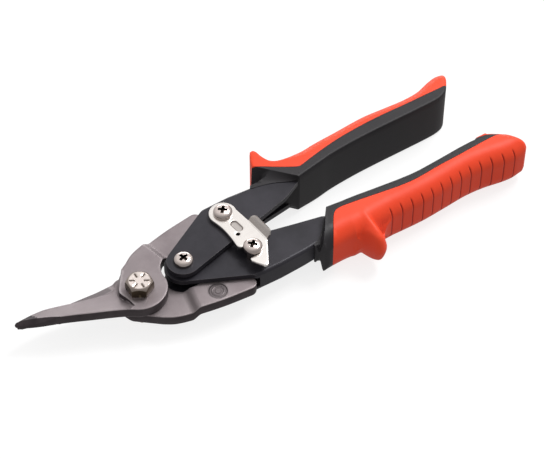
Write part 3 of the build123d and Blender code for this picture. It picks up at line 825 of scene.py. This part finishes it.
def make_bolt():
    """The pivot bolt: a chamfered hexagon head with six radial marks, and its shank."""
    low, high = heights("pivot_bolt")
    base = BLADE_DEPTH + 0.03

    def top(x, y):
        away = hypot(x, y)
        height = high - max(0.0, away - CHAMFER_R) * CHAMFER_TAN * (1 + 0.5 * max(0.0, away - CHAMFER_R))
        return height - MARK_DEEP * mark(x, y)

    def mark(x, y):
        away = hypot(x, y)
        angle = (atan2(y, x) - BOLT_TURN) % (2 * pi / MARKS)
        off = away * sin(min(angle, 2 * pi / MARKS - angle))
        within = min((MARK_HALF - off) / 0.16, (away - MARK_FROM) / 0.3, (MARK_TO - away) / 0.2)
        return max(0.0, min(1.0, within))

    # Painted shade: dark in the six marks and on the chamfer round the top.
    def shade_amount(x, y, z):
        if z <= base + 1:
            return 0.0
        return max(mark(x, y), 0.75 * ease((hypot(x, y) - CHAMFER_R + 0.1) / 0.2))

    corner = BOLT_AF / 2 / cos(pi / 6)
    corners = [turned((0, 0), BOLT_TURN + k * pi / 3, corner, 0) for k in range(6)]
    rim = [p for k in range(6) for p in line(corners[k], corners[(k + 1) % 6], 0.33)]
    extra = [p for off in (0, 0.35, -0.2) for p in circle((0, 0), CHAMFER_R + off, 90)]
    for k in range(MARKS):
        angle = BOLT_TURN + k * 2 * pi / MARKS
        for i in range(22):
            away = MARK_FROM - 0.06 + (MARK_TO - MARK_FROM + 0.12) * i / 21
            for off in (-0.30, -0.27, -0.12, 0, 0.12, 0.27, 0.30):
                extra.append(turned((0, 0), angle, away, off))
    slab = Slab(rim, grid=0.6, rounding=0.25, steps=(0, 45, 90), extra=extra)
    verts, faces = slab.solid(top, lambda x, y: base)
    profile = [(3.98, base + 0.3), (3.98, low + 0.6), (3.4, low)]
    more, rings = turned_solid((0, 0), profile, 48, len(verts))
    finish_mesh("pivot_bolt_turned", verts + more, faces + rings, "lower_blade", "bolt_steel", BOLT,
                "pivot_bolt", sharp=25, side=SHADED_BOLT_SIDES, painted_shade=shade_amount)


make_bolt()

# ---------------------------------------------------------------- latch
LATCH_LOW = heights("latch_plate")[0]
LATCH_SHEET = 1.6
DIMPLE, DIMPLE_TURN, DIMPLE_HALF, DIMPLE_R, DIMPLE_DEEP = (53.0, 2.4), radians(96), 1.7, 2.0, 0.75
PEEP, PEEP_R = (50.9, -1.9), 0.95


TAB_LOW, TAB_HIGH, TAB_ROWS, TAB_THICK = -11.6, 2.2, 30, 1.25
TAB_LEAN, TAB_BEND, TAB_RISE, TAB_END = radians(62), 1.3, 3.77, 2.2


def tab_line(y):
    """Middle of the tab's sheet at this y, as (x, height above the plate): flat, bent up, leaning out."""
    edge = 59.45 - (y - TAB_HIGH) / 13.6 * 0.95
    end = min(y - TAB_LOW, TAB_HIGH - y)
    rise = TAB_RISE - 2.1 * (1 - min(1.0, end / TAB_END)) ** 2
    middle = [(edge - 1.6, 0.0), (edge - 0.6, 0.0)]
    for k in range(1, 7):
        angle = TAB_LEAN * k / 6
        middle.append((edge - 0.6 + TAB_BEND * sin(angle), TAB_BEND * (1 - cos(angle))))
    last_x, last_z = middle[-1]
    for k in range(1, 6):
        go = rise * k / 5
        middle.append((last_x + go * cos(TAB_LEAN) * (1 + 0.03 * k), last_z + go * sin(TAB_LEAN)))
    return middle


def thumb_tab(top, first):
    """The tab along the latch's right edge, as a closed strip. Its points are numbered from first."""
    verts = []
    for row in range(TAB_ROWS + 1):
        y = TAB_LOW + (TAB_HIGH - TAB_LOW) * row / TAB_ROWS
        middle = tab_line(y)
        size = len(middle)
        for side in (1, -1):
            for i in range(size)[::side]:
                a, b = middle[max(0, i - 1)], middle[min(size - 1, i + 1)]
                length = hypot(b[0] - a[0], b[1] - a[1])
                nx, nz = -(b[1] - a[1]) / length, (b[0] - a[0]) / length
                reach = TAB_THICK / 2 * (0.62 if i == size - 1 else 1.0)
                height = top - TAB_THICK / 2 - 0.02 + middle[i][1] + nz * reach * side
                verts.append((middle[i][0] + nx * reach * side, y, height))
    return verts, skin(TAB_ROWS + 1, 2 * size, first)


def make_latch():
    """The pressed latch: a flat plate with an oblong dimple, a small hole, and a bent-up thumb tab."""
    loop = arc((58.3, 11.0), (51.6, 18.9), (45.6, 11.4))
    loop += curve([(45.6, 11.4), (46.9, 5.0), (47.1, -2.0), (46.7, -6.6)])
    loop += arc((46.7, -6.6), (47.0, -8.2), (48.6, -9.3), 0.3)
    loop += curve([(48.6, -9.3), (50.6, -9.45), (53.0, -9.25), (54.7, -10.4), (55.3, -12.4), (54.6, -14.6),
                   (52.8, -15.65), (50.8, -16.3), (49.0, -16.9)], 0.4)
    loop += arc((49.0, -16.9), (47.5, -17.5), (47.7, -18.8), 0.25)
    loop += curve([(47.7, -18.8), (48.6, -20.4), (50.6, -23.3)])
    loop += arc((50.6, -23.3), (52.0, -24.05), (53.4, -23.3), 0.3)
    loop += line((53.4, -23.3), (59.9, -12.6))
    loop += arc((59.9, -12.6), (60.3, -12.0), (60.3, -11.4), 0.2)
    loop += line((60.3, -11.4), (59.3, 2.4))
    loop += line((59.3, 2.4), (58.3, 11.0))

    def dimple(x, y):
        """1 on the floor of the dimple, falling to 0 at its rim."""
        u, v = local(DIMPLE, DIMPLE_TURN, x, y)
        away = hypot(max(0.0, abs(u) - DIMPLE_HALF), v)
        return ease((DIMPLE_R - away) / 0.8)

    extra = []
    for k in range(9):
        radius = DIMPLE_R + 0.1 - k * 0.22
        for i in range(44):
            angle = 2 * pi * i / 44
            u = radius * cos(angle) + (DIMPLE_HALF if cos(angle) > 0 else -DIMPLE_HALF)
            extra.append(turned(DIMPLE, DIMPLE_TURN, u, radius * sin(angle)))
        for i in range(7):
            for v in (radius, -radius):
                extra.append(turned(DIMPLE, DIMPLE_TURN, DIMPLE_HALF * (i - 3) / 3, v))
    slab = Slab(loop, [circle(UPPER_TAIL, 3.25, 48), circle(PEEP, PEEP_R, 28)], grid=0.8, rounding=0.3,
                steps=(0, 30, 60, 90), extra=extra)
    top = LATCH_LOW + LATCH_SHEET
    verts, faces = slab.solid(lambda x, y: top - DIMPLE_DEEP * dimple(x, y), lambda x, y: LATCH_LOW)
    tab, tab_faces = thumb_tab(top, len(verts))

    def rim(x, y, z):
        """Painted shade in and round the dimple, and a brown painted reflection over the tab."""
        if z > top + 0.2:
            return 0.45
        if z < top - 1.2:
            return 0.0
        part = dimple(x, y)
        return max(0.4 * part, 0.95 * (1 - abs(2 * part - 0.8)) if part > 0.02 else 0.0)

    finish_mesh("latch_pressed", verts + tab, faces + tab_faces, "latch", "latch_steel", LATCH, "latch_plate",
                sharp=35, painted_shade=rim)


make_latch()

# ---------------------------------------------------------------- grips
HALF = 12.6
UPPER_INNER = [
    (93.2, 10.7), (100.0, 11.8), (107.0, 12.9), (114.6, 14.0), (127.0, 14.8), (140.0, 15.0), (151.0, 14.9),
    (163.0, 14.8), (172.0, 14.8), (178.0, 15.3), (182.3, 17.0), (185.6, 20.4),
]
UPPER_REAR = [(185.6, 20.4), (188.4, 24.4), (189.4, 28.0), (188.4, 30.2)]
UPPER_OUTER = [
    (188.4, 30.2), (185.0, 30.6), (180.0, 29.6), (172.0, 27.2), (163.0, 26.7), (152.0, 27.5), (140.0, 28.3),
    (124.0, 27.5), (111.0, 26.9), (101.5, 25.7), (95.4, 24.9), (90.5, 25.2), (87.4, 27.4), (85.9, 31.3),
    (85.5, 34.4), (84.9, 36.15), (83.4, 36.8), (82.1, 35.9), (79.8, 32.2), (78.1, 28.0),
]
UPPER_SEAM = [
    (78.1, 28.0), (82.6, 25.1), (87.9, 21.3), (93.4, 17.7), (96.2, 16.2), (98.4, 16.2), (106.0, 17.8),
    (114.2, 19.3), (123.0, 20.5), (135.7, 21.3), (148.0, 21.4), (160.0, 21.0), (172.6, 20.7), (185.6, 20.4),
]
UPPER_FRONT = [
    (78.1, 28.0), (75.2, 24.4), (72.6, 21.2), (71.9, 19.5), (75.6, 18.5), (79.8, 17.4), (83.7, 15.8),
    (87.4, 13.8), (93.2, 10.7),
]

LOWER_INNER = [
    (92.9, 11.1), (100.0, 12.0), (107.0, 12.7), (118.7, 14.3), (130.7, 15.8), (140.0, 16.5), (153.7, 16.1),
    (166.7, 15.5), (175.0, 15.5),
]
LOWER_REAR = [
    (175.0, 15.5), (182.0, 15.6), (187.6, 16.3), (191.6, 18.8),
    (194.3, 22.4), (195.9, 26.2), (195.7, 29.2), (193.2, 31.2),
]
LOWER_OUTER = [
    (193.2, 31.2), (188.0, 31.8), (182.0, 31.3), (172.0, 29.4), (162.0, 28.7), (150.0, 29.3), (137.0, 29.9),
    (125.0, 29.5), (119.0, 29.2), (115.5, 29.7), (112.0, 31.4), (109.8, 34.8), (108.0, 38.4), (105.3, 40.1),
    (102.8, 39.4), (101.2, 36.0), (99.6, 32.0), (97.2, 29.6), (93.0, 28.8), (84.8, 28.8),
]
LOWER_SEAM = [
    (84.8, 28.8), (87.6, 24.6), (91.2, 19.4), (94.2, 16.1), (97.9, 15.2), (104.5, 16.0), (116.0, 17.9),
    (127.7, 19.8), (137.2, 20.5), (151.0, 19.8), (163.6, 19.6), (172.2, 19.3), (181.0, 19.1), (187.0, 19.6),
]
LOWER_TIP = [(187.0, 19.6), (184.6, 18.0), (180.0, 16.4), (175.0, 15.5)]
LOWER_FRONT = [
    (84.8, 28.8), (82.6, 29.0), (81.2, 28.4), (80.4, 26.6), (79.4, 24.6), (78.4, 23.2), (79.0, 22.2),
    (81.2, 21.2), (85.1, 18.6), (88.9, 14.8), (92.9, 11.1),
]


def rounded(away, radius):
    """Height lost at this distance from an edge that is rounded to this radius."""
    if away >= radius:
        return 0.0
    return radius - sqrt(max(0.0, radius * radius - (radius - max(0.0, away)) ** 2))


def soft_max(a, b, blend):
    """The larger of two heights, with a fillet where they meet."""
    t = max(0.0, min(1.0, 0.5 + 0.5 * (a - b) / blend))
    return b + (a - b) * t + blend * t * (1 - t)


def front_face(crease, x, y, reach, foot, power):
    """Height of a grip's front: it falls from the crease to the foot, this far ahead of it.

    reach gives how far for a place from 0 at the inner end of the crease to 1 at the outer end."""
    (x0, y0), (x1, y1) = crease
    far, ahead = local(crease[0], atan2(y1 - y0, x1 - x0), x, y)
    if ahead <= 0:
        return HALF
    u = min(1.0, ahead / reach(far / hypot(x1 - x0, y1 - y0)))
    return foot + (HALF - foot) * (1 - u) ** power


def front_points(crease, reach):
    """Plan points that follow a grip's front down from its crease."""
    (x0, y0), (x1, y1) = crease
    angle, long = atan2(y1 - y0, x1 - x0), hypot(x1 - x0, y1 - y0)
    found = []
    for i in range(-2, 45):
        place = i / 42
        for part in (-0.02, 0.0, 0.03, 0.08, 0.16, 0.28, 0.42, 0.6, 0.8, 1.0, 1.04):
            found.append(turned(crease[0], angle, long * place, part * reach(place)))
    return found


def upper_reach(place):
    return 0.8 + 9.9 * max(0.0, min(1.1, place))


def lower_reach(place):
    return 0.6 + 2.6 * max(0.0, place - 0.35)


UPPER_CREASE = ((93.2, 10.7), (78.8, 27.9))
LOWER_CREASE = ((92.9, 11.1), (82.0, 25.6))
UPPER_OUTER_ROW = curve(UPPER_OUTER, 1.2) + [UPPER_OUTER[-1]]
UPPER_INNER_ROW = curve(UPPER_INNER, 2.0) + [UPPER_INNER[-1]]
UPPER_REAR_ROW = curve(UPPER_REAR, 1.0) + [UPPER_REAR[-1]]
FIN_FROM, FIN_TO, FIN_RIDGE, FIN_CREST = 97.2, 119.0, 105.4, 12.1
LOWER_BODY_ROW = [(76.0, 29.6), LOWER_OUTER[-1]]
LOWER_BODY_ROW += [p for p in curve(LOWER_OUTER, 0.6)[::-1] if not FIN_FROM < p[0] < FIN_TO]
LOWER_INNER_ROW = curve(LOWER_INNER, 2.0) + [LOWER_INNER[-1]]
LOWER_REAR_ROW = curve(LOWER_REAR[1:], 1.0) + [LOWER_REAR[-1]]
LOWER_FIN_ROW = curve(LOWER_OUTER[8:19], 0.7)
OUTER_R, UPPER_R, HORN_R, REAR_R = 8.0, 6.4, 1.4, 7.0


def upper_radius(x):
    """Rounding of the upper grip's outer side: sharp on the horn, and full behind it."""
    return HORN_R + (UPPER_R - HORN_R) * ease((x - 89.0) / 18.0)


def lower_radius(x):
    return 2.4 if 97.0 < x < 115.0 else OUTER_R


def upper_grip_top(x, y):
    """The upper grip: square on the inner side, round outside, with a full-depth horn."""
    height = HALF - rounded(distance_to(UPPER_OUTER_ROW, x, y), upper_radius(x))
    height -= rounded(distance_to(UPPER_INNER_ROW, x, y), 1.0)
    height -= rounded(distance_to(UPPER_REAR_ROW, x, y), 1.6)
    foot = 9.25 - 7.0 * ease((y - 20.9) / 2.2)
    face = front_face(UPPER_CREASE, x, y, upper_reach, foot, 2.4)
    return min(height, face)


def lower_grip_top(x, y):
    """The lower grip: round outside, with a D-shaped fin and a bulbous end."""
    away = distance_to(LOWER_BODY_ROW, x, y)
    if FIN_FROM < x < FIN_TO and y > level_at(LOWER_BODY_ROW, x):
        height = (HALF - OUTER_R) * (1 - ease(away / 2.5))
    else:
        height = HALF - rounded(away, OUTER_R)
    height -= rounded(distance_to(LOWER_INNER_ROW, x, y), 1.2)
    rear = 1.2 + (REAR_R - 1.2) * ease((x - 180.0) / 9.0)
    if x > 176.0:
        height = min(height, HALF - rounded(distance_to(LOWER_REAR_ROW, x, y), rear))
    if 92.0 < x < 120.0 and y > 19.0:
        span = 4.8 + 2.0 * ease((28.0 - y) / 6.0) if x > FIN_RIDGE else 9.5
        crest = FIN_CREST * max(0.0, 1 - ((y - 18.0) / 22.5) ** 2.6) ** 0.385
        fin = crest * (1 - min(1.0, abs(x - FIN_RIDGE) / span) ** 1.7)
        edge = distance_to(LOWER_FIN_ROW, x, y)
        fin *= sqrt(max(0.0, 1 - (1 - min(1.0, edge / 2.4)) ** 2)) if y > 28.0 else 1.0
        height = soft_max(height, fin, 1.8)
    foot = 5.8 - 4.5 * ease((y - 23.6) / 1.6) * ease((84.0 - x) / 3.0)
    face = front_face(LOWER_CREASE, x, y, lower_reach, foot, 1.5)
    return min(height, face)


SEAM_ROUND = 0.28
WALL_ROWS = (0.12, 0.3, 0.475, 0.5, 0.525, 0.7, 0.88)


def front_lift(side, x):
    """How far the underside is raised at the front of the upper grip."""
    return 1.5 * (1 - ease((x - 90.0) / 16.0)) if side == UPPER else 0.0


def grip_piece(name, side, loop, seam, top, radius, body, slot, material, node, groove=None, front=()):
    """One half of a grip over its plan, closed, with a fine rounded edge along the seam."""
    seam_row = curve(seam, 1.0) + [seam[-1]]
    known = {}

    def height(x, y):
        key = (round(x, 4), round(y, 4))
        if key not in known:
            away = distance_to(seam_row, x, abs(y))
            known[key] = max(0.05, top(x, abs(y)) - rounded(away, SEAM_ROUND))
        return known[key]

    def wide(x, y):
        """Width of the band of close points inside the plan's edge."""
        if distance_to(seam_row, x, abs(y)) < 0.05:
            return SEAM_ROUND
        if abs(y) < 23.5 and x < 186:
            return 1.2
        return radius(x)

    plan = mirrored(loop, side)
    slab = Slab(plan, grid=1.0, rounding=wide, steps=(0, 12, 24, 36, 48, 60, 75, 90), drop=False,
                extra=groove.extra(side) if groove else mirrored(front, side))
    verts, faces = slab.solid(height, lambda x, y: -height(x, y) + front_lift(side, x), WALL_ROWS)
    # Painted shade: the grooves' depth also darkens the cover's colour in them.
    painted_shade = groove.depth if groove else None
    piece = finish_mesh(name, verts, faces, body, slot, material, node, sharp=50, painted_shade=painted_shade)
    if groove:
        groove.cut(piece)


class Grooves:
    """The row of fine slanted grooves across the lower cover, cut along the surface's normals."""

    FIRST, PITCH, COUNT = 116.5, 5.75, 13
    DEEP, HALF_WIDE, SLANT = 0.34, 0.40, 0.16

    def depth(self, x, y, z):
        """How deep the grooves are at this point, as a part of their full depth."""
        place = x - self.SLANT * (abs(y) - 22.0) - self.FIRST
        number = max(0, min(self.COUNT - 1, round(place / self.PITCH)))
        across = abs(place - number * self.PITCH) / self.HALF_WIDE
        if across >= 1:
            return 0.0
        return (1 - across * across) * ease((abs(y) - 23.0) / 1.6) * ease((10.8 - abs(z)) / 1.6)

    def extra(self, side):
        """Plan points along and across each groove."""
        found = []
        for k in range(self.COUNT):
            for i in range(34):
                y = 22.0 + 9.6 * sin(radians(90 * i / 33))
                for off in (-0.42, -0.28, -0.14, 0.0, 0.14, 0.28, 0.42):
                    found.append((self.FIRST + k * self.PITCH + off + self.SLANT * (y - 22.0), side * y))
        return found

    def cut(self, piece):
        """Moves a finished piece's points inwards where the grooves are."""
        mesh = piece.data
        normals = [v.normal.copy() for v in mesh.vertices]
        for vertex, normal in zip(mesh.vertices, normals):
            place = (vertex.co.x / MM, vertex.co.y / MM, vertex.co.z / MM - MID)
            vertex.co -= normal * (self.DEEP * self.depth(*place) * MM)
        mesh.update()


def make_grips():
    core = curve(UPPER_INNER) + curve(UPPER_SEAM[::-1]) + curve(UPPER_FRONT)
    grip_piece(
        "upper_grip_core_moulding", UPPER, core, UPPER_SEAM, upper_grip_top, upper_radius, "upper_handle", "grip_core",
        HARD, "upper_grip_core", front=front_points(UPPER_CREASE, upper_reach),
    )
    cover = curve(UPPER_SEAM) + curve(UPPER_REAR) + curve(UPPER_OUTER, 0.6)
    grip_piece(
        "upper_grip_cover_moulding", UPPER, cover, UPPER_SEAM, upper_grip_top, upper_radius, "upper_handle",
        "grip_cover", SOFT, "upper_grip_cover",
    )
    seam = LOWER_SEAM + LOWER_TIP[1:]
    core = curve(LOWER_INNER) + curve(LOWER_TIP[::-1]) + curve(LOWER_SEAM[::-1]) + curve(LOWER_FRONT)
    grip_piece(
        "lower_grip_core_moulding", LOWER, core, seam, lower_grip_top, lower_radius, "lower_handle", "grip_core",
        HARD, "lower_grip_core", front=front_points(LOWER_CREASE, lower_reach),
    )
    cover = curve(LOWER_SEAM) + curve(LOWER_TIP) + curve(LOWER_REAR, 0.4) + curve(LOWER_OUTER, 0.3)
    grip_piece(
        "lower_grip_cover_moulding", LOWER, cover, seam, lower_grip_top, lower_radius, "lower_handle",
        "grip_cover", SOFT, "lower_grip_cover", Grooves(),
    )


make_grips()


# ---------------------------------------------------------------- opening spring
def make_spring():
    """A torsion spring round the handle pivot, with a leg along each blade tail."""
    wire, radius, turns, pitch = 0.65, 4.95, 2.5, 1.36
    leg = 22.0
    path = []
    for i in range(24):
        t = 1 - i / 24
        path.append((HANDLE_PIVOT[0] + leg * t, radius + 0.9 * t * t, -pitch * turns / 2))
    steps = int(turns * 40)
    for i in range(steps + 1):
        angle = pi / 2 + 2 * pi * turns * i / steps
        path.append((
            HANDLE_PIVOT[0] + radius * cos(angle), radius * sin(angle), pitch * turns * (i / steps - 0.5)
        ))
    for i in range(1, 25):
        t = i / 24
        path.append((HANDLE_PIVOT[0] + leg * t, -radius - 0.9 * t * t, pitch * turns / 2))
    verts = []
    sides = 12
    for i, point in enumerate(path):
        tangent = (Vector(path[min(len(path) - 1, i + 1)]) - Vector(path[max(0, i - 1)])).normalized()
        across = tangent.cross(Vector((0, 0, 1))).normalized()
        rise = across.cross(tangent)
        scale = 0.7 if i in (0, len(path) - 1) else 1.0
        for k in range(sides):
            angle = 2 * pi * k / sides
            verts.append(tuple(Vector(point) + (across * cos(angle) + rise * sin(angle)) * wire * scale))
    piece = finish_mesh("opening_spring_wire", verts, skin(len(path), sides), None, "spring_steel", TURNED,
                        "opening_spring", sharp=50)
    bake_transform(piece)


make_spring()

# ---------------------------------------------------------------- CAD nodes that stay
CARRIED = {
    "upper_handle_plate": (BLACK, 0.30), "lower_handle_plate": (BLACK, 0.30),
    "pivot_washer": (BOLT, 0.15), "pivot_lock_nut": (BOLT, 0.2),
    "handle_pivot_nut": (SCREW, 0.15), "latch_screw_nut": (SCREW, 0.15), "catch_screw_nut": (SCREW, 0.15),
    "latch_washer": (SCREW, 0.1),
    "handle_pivot_sleeve": (TURNED, 0.1), "upper_tail_sleeve": (TURNED, 0.1),
    "lower_tail_sleeve": (TURNED, 0.1),
    "upper_tail_spacers": (TURNED, 0.15), "handle_thrust_washers": (TURNED, 0.1),
}


def dress(node, material, bevel):
    """Gives a CAD node its material and a fine rounding of its edges."""
    piece = frame["nodes"][node]
    piece.data.materials.clear()
    piece.data.materials.append(material)
    weld = piece.modifiers.new("weld", "WELD")
    weld.merge_threshold = 0.000002
    edge = piece.modifiers.new("bevel", "BEVEL")
    edge.width = bevel * MM
    edge.segments = 2
    edge.limit_method = "ANGLE"
    edge.angle_limit = radians(35)
    edge.use_clamp_overlap = True
    edge.harden_normals = False
    smooth = piece.modifiers.new("normals", "WEIGHTED_NORMAL")
    smooth.keep_sharp = False
    smooth.weight = 100


for node, (material, bevel) in CARRIED.items():
    dress(node, material, bevel)


# ---------------------------------------------------------------- floor, light and camera
def make_floor():
    mesh = bpy.data.meshes.new("floor")
    size = 6.0
    corners = [(-size, -size, 0), (size, -size, 0), (size, size, 0), (-size, size, 0)]
    mesh.from_pydata(corners, [], [(0, 1, 2, 3)])
    floor = bpy.data.objects.new("floor", mesh)
    bpy.context.scene.collection.objects.link(floor)
    floor.location.z = -0.0004
    floor.visible_diffuse = floor.visible_glossy = False
    s = Shader("pale_floor").set(Specular_IOR_Level=0.2, Emission_Color=(1, 1, 1, 1), Emission_Strength=0.80)
    s.colour(s.ramp(s.noise(3, 2), (0.20, 0.20, 0.20), (0.23, 0.23, 0.23)))
    s.roughness(s.range(s.noise(4, 2), 0.7, 0.8))
    mesh.materials.append(s.material)


def area_light(name, place, target, size, power):
    data = bpy.data.lights.new(name, "AREA")
    data.shape = "RECTANGLE"
    data.size, data.size_y = size
    data.energy = power
    lamp = bpy.data.objects.new(name, data)
    bpy.context.scene.collection.objects.link(lamp)
    lamp.location = place
    lamp.rotation_euler = (Vector(target) - Vector(place)).to_track_quat("-Z", "Y").to_euler()


def make_light():
    """A sky that is brighter above and behind the tool than in front, a key lamp over its right end,
    and a low lamp behind it."""
    world = bpy.data.worlds.new("studio")
    bpy.context.scene.world = world
    world.use_nodes = True
    tree = world.node_tree
    place = add_node(tree, "ShaderNodeTexCoord").outputs["Generated"]
    bright_way = Vector((0.45, 0.68, 0.58)).normalized()
    dot = add_node(tree, "ShaderNodeVectorMath", {0: place, 1: bright_way}, operation="DOT_PRODUCT")
    sockets = {"From Min": -0.35, "From Max": 0.85, "To Min": 0.50, "To Max": 0.92}
    sockets["Value"] = dot.outputs["Value"]
    fade = add_node(tree, "ShaderNodeMapRange", sockets, interpolation_type="SMOOTHSTEP")
    tree.links.new(fade.outputs["Result"], tree.nodes["Background"].inputs["Strength"])
    tree.nodes["Background"].inputs["Color"].default_value = (1.0, 0.985, 0.98, 1)
    centre = (0.07, 0.0, 0.0)
    area_light("key", (0.72, 0.12, 1.10), centre, (0.5, 0.4), 10.5)
    area_light("back", (0.75, 1.15, 0.20), centre, (0.9, 0.3), 3.0)


def make_camera():
    data = bpy.data.cameras.new("camera")
    data.sensor_width = 36.0
    data.lens = 128.9
    data.clip_start = 0.01
    camera = bpy.data.objects.new("camera", data)
    bpy.context.scene.collection.objects.link(camera)
    azimuth, elevation, distance = radians(-33.71), radians(49.28), 0.8951
    back = Vector((sin(azimuth) * cos(elevation), -cos(azimuth) * cos(elevation), sin(elevation)))
    target = Vector((0.07047, -0.00026, MID * MM))
    camera.location = target + back * distance
    turn = (-back).to_track_quat("-Z", "Y").to_matrix()
    camera.rotation_euler = (turn @ Matrix.Rotation(radians(-0.16), 3, "Z")).to_euler()
    bpy.context.scene.camera = camera


make_floor()
make_light()
make_camera()
bpy.context.scene.view_settings.view_transform = "Standard"
